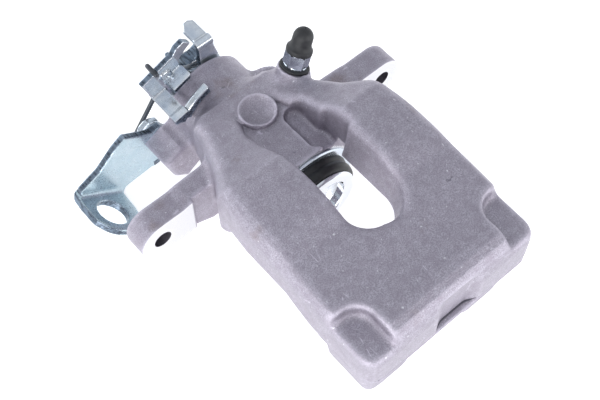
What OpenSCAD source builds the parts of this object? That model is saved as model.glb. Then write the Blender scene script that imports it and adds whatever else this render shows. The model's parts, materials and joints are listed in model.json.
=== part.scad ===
// Sliding-frame disc brake caliper with a lever-worked parking brake.
// The origin is midway between the two guide bolt holes, on the ears' outboard
// faces. +X runs along the ears, +Y inboard to the lever, +Z out of the bridge.

/* [Ears] */
// Distance between the two guide bolt holes
ear_span = 124; // [122:1:126]
// Diameter of a guide bolt hole
ear_hole_d = 8.5; // [8.2:0.1:9]
// Thickness of an ear along the bolt
ear_t = 12.5; // [11:0.5:14]
// Outer radius of an ear's boss
ear_r = 10.5; // [10:0.5:11.5]

/* [Cylinder] */
// Piston diameter
piston_d = 38; // [36:1:38]
// Height of the piston axis from the guide bolt holes
axis_z = -5; // [-6:0.5:-4]
// Outer radius of the cylinder housing
housing_r = 27.5; // [27:0.5:28.5]
// Outer radius of the boss round the parking mechanism
boss_r = 20.2; // [20:0.1:21]

/* [Bridge] */
// Largest half-width of the bridge
bridge_hw = 46.5; // [46:0.5:47.5]
// Half-width of the window between the two arms
window_hw = 11.8; // [10:0.2:12]
// Radius of the brake disc's clearance under the bridge
disc_clear_r = 136; // [130:1:140]

/* [Cable bracket] */
// Thickness of the bracket's plate
bracket_t = 3.5; // [3:0.5:4]
// Diameter of the hole for the cable's end fitting
cable_hole_d = 15.5; // [14:0.5:16]

/* [Lever] */
// Thickness of the lever's plate
lever_t = 3; // [2.5:0.5:3]
// Height of the channel's outboard wall
channel_h = 4.5; // [4:0.5:5]

/* [Bleed screw] */
// Width across the flats of the bleed screw
bleed_af = 10; // [9:1:11]
// Outer radius of the rubber cap's dome
cap_r = 4.5; // [4.3:0.1:5]

/* [Hidden] */
$fn = 72;
eps = 0.01;
piston_r = piston_d / 2;
run = 0.05;                       // radial play of a running fit

// Stations along the piston axis, from the outboard end to the lever end
y_out = -107.3;                   // outboard wall
y_finger = -77;                   // inner faces of the fingers
y_finger_out = -101.5;            // outer faces of the fingers
y_window = -55.2;                 // centre of the window's round end
y_face = -30;                     // piston face at rest
y_mouth = -20;                    // mouth of the cylinder
y_bore = 14;                      // end of the piston bore
y_shoulder = 41;                  // end of the mechanism's chamber
y_balls = 30.5;                   // middle of the balls
y_seal = 47;                      // step for the shaft seal
y_boss = 51;                      // inboard end of the boss
ear_step = 1.8;                   // how far the ear's rough face lies behind its machined face
y_lever = 52;                     // outboard face of the lever's plate

chamber_r = 14.5;
shaft_r = 7;
bush_r = 9;
seal_r = 11;
disc_r = 12;                      // ramp discs
ball_r = 3.15;
ball_pitch_r = 8.5;
screw_r = 5;
nut_r = 9;

// Heights of the bridge
z_under = 15.5;                   // lower edge of the bridge's sides
z_ledge = 6.5;                    // ledge under the outboard wall
z_finger = -22;                   // finger tips
z_pocket = 28;                    // floors of the corner pockets

// Bleed screw: seat of the ring and direction of the axis
bleed_at = [26.3, 18.5, 22.3];
bleed_dir = [0.42, 0.10, 0.902];

// Hose port: centre of the face and direction
port_at = [24.5, 34, 1];
port_dir = [0.6, 0.8, 0];
port_r = 4.5;
port_depth = 10;

// Cable bracket: bend line between web and flange, in X and Z
bend_a = [-71.8, -19.2];
bend_b = [-51.9, -35.5];
web_y = 50;                       // outboard face of the web
cable_hole_out = 12;              // distance of the hole from the web
cable_hole_in = 9.8;              // distance of the hole along the bend line
bolt_at = [[-29, -14.2], [-25, -25.8]];

cast = [0.60, 0.57, 0.60];
zinc = [0.72, 0.78, 0.82];
steel = [0.62, 0.63, 0.65];
dark = [0.08, 0.08, 0.09];

// ---- helpers ----

// An outline drawn in X and Z, extruded from y0 to y1
module slab_y(y0, y1) translate([0, y1, 0]) rotate([90, 0, 0]) linear_extrude(y1 - y0) children();

// An outline drawn in Y and Z, extruded from x0 to x1
module slab_x(x0, x1) translate([x0, 0, 0]) rotate([90, 0, 90]) linear_extrude(x1 - x0) children();

// An outline drawn in X and Y, extruded from z0 to z1
module slab_z(z0, z1) translate([0, 0, z0]) linear_extrude(z1 - z0) children();

// Children built round Z, laid on the piston axis with +Z turned to +Y
module on_axis(y = 0) translate([0, y, axis_z]) rotate([-90, 0, 0]) children();

// A solid of revolution on the piston axis, from a list of [radius, y]
module turned(profile) on_axis() rotate_extrude() polygon(profile);

// A ring on the piston axis
module ring(r_in, r_out, y0, y1)
    turned([[r_in, y0], [r_out, y0], [r_out, y1], [r_in, y1]]);

// Children built round Z, turned to point along a direction from a place
module along(at, dir)
    translate(at) rotate([0, acos(dir[2] / norm(dir)), atan2(dir[1], dir[0])]) children();

// Points of an arc, from angle a0 to a1, both included
function arc(c, r, a0, a1, n = 6) =
    [for (i = [0:n]) let (a = a0 + (a1 - a0) * i / n) [c[0] + r * cos(a), c[1] + r * sin(a)]];

// An outline and its mirror image in the first axis, joined into one
function both_sides(half) =
    concat(half, [for (i = [len(half) - 1:-1:0]) [-half[i][0], half[i][1]]]);

// A round wire: one polyhedron through rows of [centre, first and second axis of the section]
wire_sides = 8;
module wire(rows, r) {
    n = len(rows) - 1;
    points = [for (row = rows) each [for (k = [0:wire_sides - 1]) let (b = 360 * k / wire_sides)
        row[0] + r * (cos(b) * row[1] + sin(b) * row[2])]];
    polyhedron(points, concat(
        [[for (k = [0:wire_sides - 1]) k]],
        [[for (k = [wire_sides - 1:-1:0]) n * wire_sides + k]],
        [for (i = [0:n - 1]) each [for (k = [0:wire_sides - 1]) let (j = (k + 1) % wire_sides)
            [i * wire_sides + k, (i + 1) * wire_sides + k, (i + 1) * wire_sides + j, i * wire_sides + j]]]));
}

// Rows of a coil round Z that starts at angle a0
function coil_rows(r, turns, pitch, a0 = 0, steps = 20) = [for (i = [0:round(turns * steps)])
    let (a = a0 + 360 * i / steps, out = [cos(a), sin(a), 0]) [r * out + [0, 0, pitch * i / steps], out, [0, 0, 1]]];

// ---- casting ----

// Plan of the bridge and the two arms
module bridge_plan() {
    hw = bridge_hw;
    polygon(both_sides(concat(
        arc([hw - 10, y_out + 9.5], 9.5, -90, 0, 5),
        [[hw, -60], [hw, -35], [hw - 3.5, -15], [hw - 12, -3],
         [hw - 17, 8], [hw - 21, 18], [hw - 22.5, 26], [hw - 27, 33]])));
}

// Side view of the bridge, from the ledge over the crest to the boss
module bridge_side()
    polygon(concat(
        [[-72, z_ledge], [y_out, z_ledge], [y_out, 26]], arc([y_out + 8, 26.4], 8, 180, 90, 4),
        [[-82, 34.8], [-59, 37.5], [-47, 41.5], [-38, 42.4], [-28, 42], [-19, 39.5],
         [-12, 35], [-4, 30], [6, 25.5], [16, 21.5], [28, 17], [33, 15.5],
         [33, -8], [y_mouth, -8], [y_mouth, z_under - 1], [-58, z_under - 1]]));

// End view of the bridge
module bridge_end() {
    hw = bridge_hw;
    polygon(both_sides(concat(
        [[hw - 22, -8], [hw - 10, 0], [hw - 1, z_ledge], [hw, z_under], [hw, 28]],
        arc([hw - 14, 28.5], 14, 0, 90, 6))));
}

module ear_outline() {
    circle(r = ear_r);
    polygon([[0, ear_r], [-12, ear_r], [-17, 11.5], [-33, 12.5], [-38, 12.5], [-38, -16],
             [-27, -16], [-16, -ear_r], [0, -ear_r]]);
}

module corner_pocket()
    slab_z(z_pocket, 60) {
        translate([bridge_hw - 7, -120]) square([30, 36]);
        translate([bridge_hw - 16, -120]) square([40, 27]);
        translate([bridge_hw - 7, -93]) circle(r = 9);
    }

module finger(side)
    slab_y(y_finger_out, y_finger)
        polygon([for (p = concat([[14, z_ledge + 2], [14, z_finger + 5]],
                                 arc([19, z_finger + 5], 5, 180, 270, 3),
                                 arc([31, z_finger + 8], 8, 270, 350, 4),
                                 [[42, z_ledge + 2]])) [side * p[0], p[1]]]);

module housing_solid()
    turned(concat([[0, y_mouth], [25.5, y_mouth], [27, -18.5], [housing_r, -16], [housing_r, y_bore]],
                  [[26, 18], [23, 22], [boss_r + 0.6, 26], [boss_r, 30], [boss_r, y_boss - 1],
                   [boss_r - 1, y_boss], [0, y_boss]]));

module caliper_body() color(cast) difference() {
    union() {
        intersection() {
            slab_z(-8, 60) bridge_plan();
            slab_x(-60, 60) bridge_side();
            slab_y(-110, 60) bridge_end();
        }
        for (side = [-1, 1]) finger(side);
        housing_solid();
        for (side = [0, 1]) mirror([side, 0, 0])
            translate([ear_span / 2, 0, 0]) {
                slab_y(ear_step, ear_t) ear_outline();
                // Machined face, which stands out of the rest
                slab_y(0, ear_t) intersection() {
                    ear_outline();
                    translate([-17.5, -20]) square(40);
                }
            }
        // Pad with the round dimple
        translate([0, 11.5, 10]) cylinder(r = 8.5, h = 13);
        // Boss of the bleed screw and the boss of the hose port
        along(bleed_at - 24 * bleed_dir, bleed_dir) cylinder(r = 7.4, h = 24);
        along(port_at - 20 * port_dir, port_dir) cylinder(r = 8, h = 20);
        // Lugs that the cable bracket is bolted to
        for (p = bolt_at) translate([p[0], 36, p[1]]) rotate([-90, 0, 0]) cylinder(r = 6.2, h = web_y - 36);
        slab_y(36, web_y) polygon([[-26, -8.5], [-35.1, -13], [-31, -26.5], [-25, -32], [-10, -22], [-12, -7]]);
    }
    // Room for the disc and pads, between the fingers and the cylinder
    translate([0, y_mouth, z_under - sqrt(pow(disc_clear_r, 2) - pow(43, 2))])
        rotate([90, 0, 0]) intersection() {
            cylinder(r = disc_clear_r, h = y_mouth - y_finger, $fn = 256);
            union() {
                translate([-43.5, 0, 0]) cube([87, 200, 100]);
                translate([-60, 0, 0]) cube([120, 200, 38]);
            }
        }
    // Window through the bridge, open to the top of the cylinder
    translate([0, y_window, -30]) cylinder(r = window_hw, h = 60);
    translate([0, y_window, 22]) cylinder(r1 = window_hw, r2 = window_hw + 5, h = 22);
    slab_y(y_window, y_mouth) polygon(both_sides([[window_hw, -30], [window_hw, 22], [window_hw + 4.5, 44]]));
    slab_y(y_mouth - eps, 2) polygon(both_sides([[window_hw, 21.5], [window_hw + 5, 44]]));
    translate([0, 2, 21.5]) cylinder(r1 = window_hw, r2 = window_hw + 5, h = 22.5);
    slab_y(8, 30) polygon(both_sides([[window_hw - 3, 21.5], [window_hw + 2, 44]]));
    // Scoop over the gap between the fingers
    translate([2, y_out - 7.5, z_ledge - 1]) cylinder(r = 12, h = 28);
    corner_pocket();
    mirror([1, 0, 0]) corner_pocket();
    // Dimple
    translate([0, 11.5, 31.5]) sphere(r = 11.2);
    // Guide bolt holes
    for (side = [-1, 1]) translate([side * ear_span / 2, -1, 0]) rotate([-90, 0, 0])
        cylinder(d = ear_hole_d, h = ear_t + 2);
    // Piston bore with its seal groove, the chamber, and the seats of bush and seal
    turned([[0, y_mouth - 1], [23, y_mouth - 1], [23, -16], [piston_r + run, -16],
            [piston_r + run, -11.5], [21.8, -11.5], [21.8, -8], [piston_r + run, -8],
            [piston_r + run, y_bore], [chamber_r, y_bore], [chamber_r, 15.5], [15.6, 15.5],
            [15.6, 16.9], [chamber_r, 16.9], [chamber_r, y_shoulder], [bush_r, y_shoulder],
            [bush_r, y_seal], [seal_r, y_seal], [seal_r, y_boss + 1], [0, y_boss + 1]]);
    // Seat and drilling of the bleed screw
    along(bleed_at, bleed_dir) cylinder(r = 7.4, h = 10);
    along(bleed_at - 14 * bleed_dir, bleed_dir) cylinder(r = 4, h = 20);
    along(bleed_at - 22 * bleed_dir, bleed_dir) cylinder(r = 1.5, h = 12);
    // Hose port and its drilling
    along(port_at - port_depth * port_dir, port_dir) cylinder(r = port_r, h = port_depth + 2);
    along(port_at - 27 * port_dir, port_dir) cylinder(r = 2, h = 18);
    // Threaded holes for the bracket's bolts
    for (p = bolt_at) translate([p[0], 38, p[1]]) rotate([-90, 0, 0]) cylinder(r = 3, h = 20);
}

// ---- cable bracket ----

bend_len = norm(bend_b - bend_a);
bend_angle = atan2(bend_b[1] - bend_a[1], bend_b[0] - bend_a[0]);

// Children drawn with X along the bend line and +Z out of the flange
module at_bend() translate([bend_a[0], web_y, bend_a[1]]) rotate([0, -bend_angle, 0]) children();

module cable_bracket() color(zinc) {
    difference() {
        union() {
            slab_y(web_y, web_y + bracket_t) polygon([
                [-26, -7.6], [-31.2, -8.2], [-36, -5.4], [-44.6, 0.8], [-50.7, -2.8], [-60, -11],
                [-71, -16], bend_a, bend_b, [-29.9, -33.5], [-22, -32.5], [-19.5, -26], [-20.5, -16]]);
            // Flange along the bend line, with a round end
            at_bend() mirror([0, 1, 0]) translate([0, 0, -bracket_t]) linear_extrude(bracket_t) {
                polygon([[-1.5, -bracket_t], [-2.6, 5], [-1.8, 15], [14, 23.6], [20, 20], [24.5, 12],
                         [bend_len, -bracket_t]]);
                translate([cable_hole_in, cable_hole_out]) circle(r = 12);
                translate([15, 15.5]) circle(r = 8.3);
            }
            // Hook for the return spring
            slab_y(web_y, 66.5) translate([-33.3, -33.6]) square([3.3, 3.6]);
        }
        at_bend() translate([cable_hole_in, -cable_hole_out, -10]) cylinder(d = cable_hole_d, h = 20);
        for (p = bolt_at) translate([p[0], 45, p[1]]) rotate([-90, 0, 0]) cylinder(r = 3.3, h = 20);
    }
}

module bracket_bolts() color(zinc) for (p = bolt_at)
    translate([p[0], 0, p[1]]) rotate([-90, 0, 0]) {
        translate([0, 0, 39]) cylinder(r = 2.95, h = web_y + bracket_t - 38);
        difference() {
            union() {
                translate([0, 0, web_y + bracket_t]) cylinder(r = 5.9, h = 1.2);
                translate([0, 0, web_y + bracket_t]) cylinder(r = 5 / cos(30), h = 4.6, $fn = 6);
            }
            translate([0, 0, web_y + bracket_t + 3.8]) cylinder(r = 3, h = 2);
        }
    }

// ---- piston and its seals ----

module piston() color(steel) turned([
    [0, -25], [13.5, -25], [13.5, -29], [14.5, y_face], [18.2, y_face], [piston_r, -29.2],
    [piston_r, -28.2], [17.2, -28.2], [17.2, -26.2], [piston_r, -26.2], [piston_r, 9],
    [18, 10], [14, 10], [14, 7.7], [15, 7.7], [15, 6.5], [14, 6.5], [14, -20], [0, -20]]);

module piston_seal() color(dark) ring(piston_r + run, 21.7, -11.4, -8.1);

module piston_boot() color(dark) turned([
    [17.3, -28.1], [19.4, -28.1], [20.6, -27.2], [21.2, -25], [20.4, -23.4], [21.4, -21.8],
    [21.2, -20], [22.9, -19.9], [22.9, -16.1], [19.6, -16.1], [19.6, -17.2], [21.4, -17.6],
    [21.4, -18.6], [20, -19.4], [20.2, -21.8], [19.4, -23.4], [20, -25], [19.6, -26.3], [17.3, -26.3]]);

module boot_ring() color(zinc) turned([
    [21.5, -21], [24.2, -21], [25, -20.6], [25, -20], [22, -20], [21.5, -20.2]]);

// ---- parking mechanism ----

// One of the two ramp discs: a disc with a round race facing the balls
module ramp_disc(y0, y1, race_y) difference() {
    ring(0, disc_r, y0, y1);
    on_axis(race_y) rotate_extrude() translate([ball_pitch_r, 0]) circle(r = ball_r + run);
}

module push_rod() color(steel) {
    ramp_disc(24, 28.5, y_balls);
    turned([[0, -16], [4, -16], [screw_r, -15], [screw_r, 24.5], [0, 24.5]]);
    for (side = [-1, 1]) translate([side * 12.3 - 1, 24, axis_z - 2]) cube([2, 4.5, 4]);
}

module ramp_balls() color(steel) for (a = [90:120:330])
    on_axis(y_balls) rotate(a) translate([ball_pitch_r, 0, 0]) sphere(r = ball_r);

module lever_shaft() color(steel) {
    ramp_disc(32.5, 37, y_balls);
    difference() {
        turned([[0, 37], [shaft_r, 37], [shaft_r, 51.8], [5.9, 51.8], [5.9, 56], [5, 56.5],
                [5, 65], [4.3, 66], [0, 66]]);
        // Two flats that the lever is pushed onto
        for (side = [-1, 1]) translate([side * 7.5 - 3, 51.8, axis_z - 10]) cube([6, 4.2, 20]);
        // Step that the washer rests on
        ring(5, 7, 55, 58);
    }
}

module thrust_bearing() color(steel) {
    ring(shaft_r + 0.2, 13, 37.1, 37.9);
    ring(shaft_r + 0.2, 13, 39.9, 40.9);
    for (a = [0:20:340]) on_axis(38.9) rotate(a) translate([8, 0, 0]) rotate([0, 90, 0])
        cylinder(r = 0.95, h = 4.5, $fn = 16);
}

module shaft_bush() color([0.65, 0.50, 0.28]) ring(shaft_r + run, bush_r - 0.02, 41.2, 46.8);

module shaft_seal() color(dark) turned([
    [shaft_r + 0.1, 47.2], [8, 47.2], [8.4, 49.2], [10.2, 49.2], [10.2, 47.2],
    [seal_r - 0.02, 47.2], [seal_r - 0.02, 50.8], [shaft_r + 0.1, 50.8]]);

module spring_cage() color(steel) difference() {
    union() {
        ring(13, 13.9, 17.2, 31);
        ring(6.5, 13.9, 17.2, 18.2);
    }
    // Slots that keep the push rod from turning
    for (side = [-1, 1]) translate([side * 13 - 2, 19.5, axis_z - 2.2]) cube([4, 14, 4.4]);
}

module mechanism_spring() color(steel) on_axis(19.15) wire(coil_rows(9.5, 2.25, 1.7), 0.8);

module cage_circlip() color(steel) difference() {
    ring(12.6, 15.5, 15.6, 16.8);
    translate([-3, 14, axis_z - 20]) cube([6, 4, 14]);
}

module adjuster_nut() color([0.70, 0.58, 0.34]) difference() {
    turned([[0, -13], [nut_r - 1, -13], [nut_r, -12], [nut_r, -2], [11.5, -1], [11.5, 1], [0, 1]]);
    on_axis(-14) cylinder(r = screw_r + run, h = 20);
}

module nut_bearing() color(steel) ring(6.2, 12.5, 1.2, 2.4);

module nut_spring() color(steel) on_axis(3.1) wire(coil_rows(11.9, 1.75, 1.6), 0.65);

module piston_circlip() color(steel) difference() {
    ring(11.5, 14.9, 6.6, 7.6);
    translate([-3, 6, axis_z - 20]) cube([6, 3, 14]);
}

// ---- lever ----

// Outline of the lever's plate, in X and Z
module lever_outline() {
    translate([0, axis_z]) circle(r = 13);
    polygon([[-30.1, 23.8], [-13, 30.3], [-10.5, 33.6], [-6.5, 35.2], [-3, 31.5], [-6, 29.5],
             [-9.8, 26], [-10.4, 21], [-8, 15.5], [12.5, axis_z], [0, -15], [-12, -8], [-16, 4],
             [-26, 11.5]]);
    // Upright of the tongue
    polygon([[1.2, 0], [0.6, 24.5], [8.4, 25.5], [13, 3]]);
}

module parking_lever() color(zinc) {
    difference() {
        union() {
            slab_y(y_lever, y_lever + lever_t) lever_outline();
            // Tongue, bent inboard from the upright
            slab_z(23.2, 25.5) polygon([[0.8, y_lever], [0.8, 63], [3.5, 66.8], [6, 67.2], [8.4, 65.5],
                                        [8.4, y_lever]]);
            // Floor of the channel that the cable runs in
            slab_y(36, y_lever + lever_t) polygon([[-26, 11.5], [-19.2, 13.1], [-18.6, 10.4], [-25.4, 8.8]]);
            // Outboard wall of the channel, concentric with the boss
            intersection() {
                ring(boss_r + 1, boss_r + 1 + channel_h, 36, 39.5);
                slab_y(30, 60) translate([0, axis_z])
                    polygon([[0, 0], [-60 * sin(57), 60 * cos(57)], [-60 * sin(16), 60 * cos(16)]]);
            }
            slab_y(36, 39.5) polygon([[-26, 11.5], [-25.4, 8.8], [-21, 6], [-17, 11], [-19.2, 13.1]]);
        }
        // Hole with two flats for the shaft
        intersection() {
            on_axis(50) cylinder(r = 6, h = 10);
            translate([-4.6, 50, axis_z - 10]) cube([9.2, 10, 20]);
        }
        // Notch for the return spring's leg
        translate([leg_at[0], 50, leg_at[1]]) rotate([-90, 0, 0]) cylinder(r = 1.3, h = 10);
    }
    // Rolled hook that holds the cable's end
    slab_y(y_lever + lever_t - 0.5, y_lever + lever_t + 6.5) intersection() {
        translate([-1.2, 22]) difference() {
            circle(r = 10.2);
            circle(r = 8);
        }
        polygon([[-1.2, 22], [-16, 22], [-16, 8], [0, 6], [10, 10], [10, 16]]);
    }
}

module lever_washer() color(zinc) ring(5.2, 9.5, y_lever + lever_t + 0.05, 57.2);

module lever_nut() color(zinc) difference() {
    on_axis(57.3) cylinder(r = 8 / cos(30), h = 6.5, $fn = 6);
    on_axis(57) cylinder(r = 5 + run, h = 8);
}

// Return spring: a coil behind the lever, one leg in its notch, one on the bracket
leg_at = [-22.58, 26.97];
module lever_return_spring() color(steel) {
    r = 12.5;
    pitch = 2.3;
    turns = 2.85;
    a0 = 196.6;                   // where the coil starts and the upper leg leaves it
    a1 = a0 + 360 * turns;        // where it ends and the lower leg leaves it
    leg0 = [sin(a0), -cos(a0), 0];
    leg1 = [-sin(a1), cos(a1), 0];
    out0 = [cos(a0), sin(a0), 0];
    out1 = [cos(a1), sin(a1), 0];
    up = [0, 0, 1];
    bent = r * out0 + 37.1 * leg0;
    on_axis(58.2) mirror([0, 1, 0]) wire(concat(
        [[bent - 7.5 * up, out0, leg0], [bent, out0, leg0 + up]],
        coil_rows(r, turns, pitch, a0),
        [[r * out1 + 42.5 * leg1 + turns * pitch * up, out1, up]]), 1.1);
}

// ---- bleed screw ----

module bleed_screw() color(zinc) along(bleed_at, bleed_dir) difference() {
    union() {
        translate([0, 0, -14]) cylinder(r1 = 1.6, r2 = 3.95, h = 3);
        translate([0, 0, -11]) cylinder(r = 3.95, h = 12.5);
        translate([0, 0, 1.5]) cylinder(r = bleed_af / 2 / cos(30), h = 6.5, $fn = 6);
        translate([0, 0, 8]) cylinder(r = 2.9, h = 6);
        translate([0, 0, 14]) cylinder(r1 = 3.4, r2 = 2.6, h = 2.5);
    }
    translate([0, 0, -8]) cylinder(r = 0.9, h = 30);
}

module bleed_cap() color(dark) along(bleed_at, bleed_dir) difference() {
    union() {
        translate([0, 0, 8.2]) cylinder(r = 5.9, h = 2.6);
        translate([0, 0, 10.8]) cylinder(r1 = 5.2, r2 = cap_r, h = 2);
        translate([0, 0, 12]) cylinder(r = cap_r, h = 3.7);
        translate([0, 0, 15.7]) intersection() {
            sphere(r = cap_r);
            cylinder(r = cap_r, h = cap_r);
        }
    }
    translate([0, 0, 7]) cylinder(r = 3.45, h = 9.7);
}

module cap_tether() color(dark) along(bleed_at, bleed_dir) {
    difference() {
        translate([0, 0, 0.1]) cylinder(r = 6.8, h = 1.3);
        translate([0, 0, -1]) cylinder(r = 4.05, h = 4);
    }
    translate([6.2, -1.2, 0.1]) cube([0.9, 2.4, 10.5]);
}

caliper_body();
cable_bracket();
bracket_bolts();
piston();
piston_seal();
piston_boot();
boot_ring();
lever_shaft();
shaft_bush();
shaft_seal();
thrust_bearing();
ramp_balls();
push_rod();
spring_cage();
mechanism_spring();
cage_circlip();
adjuster_nut();
nut_bearing();
nut_spring();
piston_circlip();
parking_lever();
lever_washer();
lever_nut();
lever_return_spring();
bleed_screw();
bleed_cap();
cap_tether();
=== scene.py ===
# Looks of a sliding disc brake caliper, laid out as a Blender add-on.
# Shapes are worked out in millimetres in the caliper's own frame and put into meshes in metres.
import json
import math

import bpy
import numpy as np
from mathutils import Matrix, Vector


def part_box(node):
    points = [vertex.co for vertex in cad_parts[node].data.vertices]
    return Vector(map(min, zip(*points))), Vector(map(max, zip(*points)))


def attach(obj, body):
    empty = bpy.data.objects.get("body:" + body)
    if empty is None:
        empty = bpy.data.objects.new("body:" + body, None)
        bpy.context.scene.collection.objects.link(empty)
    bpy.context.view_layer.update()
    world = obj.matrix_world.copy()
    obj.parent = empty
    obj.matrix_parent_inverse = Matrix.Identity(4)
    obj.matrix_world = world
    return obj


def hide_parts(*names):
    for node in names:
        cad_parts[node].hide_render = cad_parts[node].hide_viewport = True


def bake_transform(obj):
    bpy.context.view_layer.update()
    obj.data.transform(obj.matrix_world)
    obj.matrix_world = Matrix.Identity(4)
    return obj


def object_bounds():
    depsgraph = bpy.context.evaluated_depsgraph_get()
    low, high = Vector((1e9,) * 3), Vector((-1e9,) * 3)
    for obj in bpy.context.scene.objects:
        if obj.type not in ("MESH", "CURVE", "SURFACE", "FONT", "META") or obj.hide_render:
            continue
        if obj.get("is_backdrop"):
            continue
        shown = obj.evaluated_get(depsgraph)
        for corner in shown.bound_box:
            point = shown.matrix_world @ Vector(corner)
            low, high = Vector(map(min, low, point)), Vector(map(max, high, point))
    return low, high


bl_info = {
    "name": "Brake caliper looks",
    "version": (1, 0, 0),
    "blender": (4, 5, 0),
    "location": "3D View > Sidebar > Caliper",
    "description": "Casting, plated steel, rubber and springs of a brake caliper, with its stage",
    "category": "Object",
}

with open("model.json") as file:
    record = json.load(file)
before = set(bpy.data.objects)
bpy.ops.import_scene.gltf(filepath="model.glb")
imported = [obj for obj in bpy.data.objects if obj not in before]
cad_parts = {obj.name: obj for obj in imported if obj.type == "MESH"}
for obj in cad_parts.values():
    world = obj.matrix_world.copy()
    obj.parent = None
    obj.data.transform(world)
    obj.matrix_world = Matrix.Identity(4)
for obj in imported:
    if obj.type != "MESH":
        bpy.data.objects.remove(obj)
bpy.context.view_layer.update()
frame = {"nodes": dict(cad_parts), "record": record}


# ---- places read from the frame ----

def node_box(name):
    """A node's lowest and highest corners, in millimetres."""
    low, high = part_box(name)
    return np.array(low) * 1000, np.array(high) * 1000


def joint_named(name):
    """The record's entry of a joint."""
    joints = frame["record"]["behaviour"]["joints"]
    return next(joint for joint in joints if joint["name"] == name)


def mount_named(name):
    """The record's entry of a mount."""
    return next(mount for mount in frame["record"]["mounts"] if mount["name"] == name)


BODY_LOW, BODY_HIGH = node_box("caliper_body")
AXIS_Z = joint_named("lever_turn")["pos_m"][2] * 1000          # height of the piston axis
Y_LEVER = joint_named("lever_turn")["pos_m"][1] * 1000         # outboard face of the lever's plate
BLEED_AT = np.array(joint_named("bleed_screw_turn")["pos_m"]) * 1000
BLEED_DIR = np.array(joint_named("bleed_screw_turn")["axis"])
Y_OUT = BODY_LOW[1]                                            # outboard wall
Y_BOSS = node_box("shaft_seal")[1][1] + 0.2                    # inboard end of the boss
Y_FACE = node_box("piston")[0][1]                              # piston face
WEB_Y = node_box("cable_bracket")[1][1] - 16.5                 # outboard face of the bracket's web
Y_FINGER = -77.0                                               # the fingers' face against the pad
Y_MOUTH = -20.0                                                # outboard end of the cylinder
SEAM_Z = 9.6                                                   # line where the mould's halves met
EAR_SPAN = 124.0
EAR_T = 12.5
EAR_HOLE_R = 4.25
PORT_R = mount_named("hose_port")["dims"]["r_mm"]
PORT_DEPTH = mount_named("hose_port")["dims"]["length_mm"]
PORT_DIR = np.array(mount_named("hose_port")["axis"])
PORT_AT = np.array(mount_named("hose_port")["pos_m"]) * 1000 + PORT_DEPTH / 2 * PORT_DIR
BLEED_SEAT_R = 7.4
DIMPLE_AT = (0.0, 11.5, 31.5)                                  # ball that hollows the pad over the boss
DIMPLE_R = 11.2
BOLTS = [(-29.0, -14.2), (-25.0, -25.8)]                       # bracket's bolts, in X and Z


# ---- fields: signed distances in millimetres, negative inside ----

def union(a, b, k=0.0):
    """Lower of two fields, filled in by k/4 where they meet, so that the join is a fillet."""
    if k == 0:
        return np.minimum(a, b)
    h = np.maximum(k - np.abs(a - b), 0) / k
    return np.minimum(a, b) - h * h * k / 4


def common(a, b, k=0.0):
    """Higher of two fields: what is inside both, with its edges rounded by k."""
    return -union(-a, -b, k)


def cut(a, b, k=0.0):
    """What is inside a and outside b, with its edges rounded by k."""
    return common(a, -b, k)


def outline(u, v, points):
    """
    Distance to the nearest side of a closed outline, negative where a ray to one side crosses the outline
    an odd number of times.
    """
    nearest = np.inf
    inside = False
    for (au, av), (bu, bv) in zip(points, list(points[1:]) + [points[0]]):
        eu, ev = bu - au, bv - av
        wu, wv = u - au, v - av
        t = np.clip((wu * eu + wv * ev) / max(eu * eu + ev * ev, 1e-12), 0, 1)
        nearest = np.minimum(nearest, (wu - eu * t) ** 2 + (wv - ev * t) ** 2)
        above, below, left = v >= av, v < bv, eu * wv > ev * wu
        inside = inside ^ ((above & below & left) | (~above & ~below & ~left))
    return np.where(inside, -1.0, 1.0) * np.sqrt(nearest)


def between(w, low, high):
    """Distance to a slab from low to high."""
    return np.maximum(low - w, w - high)


def round_bar(x, y, z, at, direction, radius, start, end, k=0.0):
    """A cylinder from a place along a direction, with its rims rounded by k."""
    d = np.asarray(direction, dtype=float) / np.linalg.norm(direction)
    px, py, pz = x - at[0], y - at[1], z - at[2]
    t = px * d[0] + py * d[1] + pz * d[2]
    off = np.sqrt(np.maximum(px * px + py * py + pz * pz - t * t, 0))
    return common(off - radius, between(t, start, end), k)


def ball(x, y, z, at, radius):
    """A ball round a place."""
    return np.sqrt((x - at[0]) ** 2 + (y - at[1]) ** 2 + (z - at[2]) ** 2) - radius


def arc(cu, cv, radius, start, end, count=6):
    """Points of an arc between two angles in degrees."""
    turn = np.radians(np.linspace(start, end, count + 1))
    return [(cu + radius * math.cos(a), cv + radius * math.sin(a)) for a in turn]


def mirrored(half):
    """An outline and its mirror image in the first axis."""
    return list(half) + [(-u, v) for u, v in reversed(half)]


# ---- meshes ----

def new_piece(name, points, faces, smooth_angle=35):
    """A mesh object from an array of points in millimetres and an array of faces with equal corners."""
    corners = faces.shape[1]
    mesh = bpy.data.meshes.new(name)
    mesh.vertices.add(len(points))
    mesh.vertices.foreach_set("co", (np.asarray(points, dtype=np.float32) / 1000).ravel())
    mesh.loops.add(faces.size)
    mesh.loops.foreach_set("vertex_index", faces.astype(np.int32).ravel())
    mesh.polygons.add(len(faces))
    mesh.polygons.foreach_set("loop_start", np.arange(len(faces), dtype=np.int32) * corners)
    mesh.update(calc_edges=True)
    mesh.validate()
    mesh.polygons.foreach_set("use_smooth", np.ones(len(mesh.polygons), dtype=bool))
    mesh.set_sharp_from_angle(angle=math.radians(smooth_angle))
    piece = bpy.data.objects.new(name, mesh)
    bpy.context.scene.collection.objects.link(piece)
    return piece


def face_arrays(mesh):
    """Centres in millimetres and normals of a mesh's faces, one face a row."""
    arrays = []
    for label in ("center", "normal"):
        values = np.empty(len(mesh.polygons) * 3, np.float32)
        mesh.polygons.foreach_get(label, values)
        arrays.append(values.reshape(-1, 3))
    return arrays[0] * 1000, arrays[1]


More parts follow.
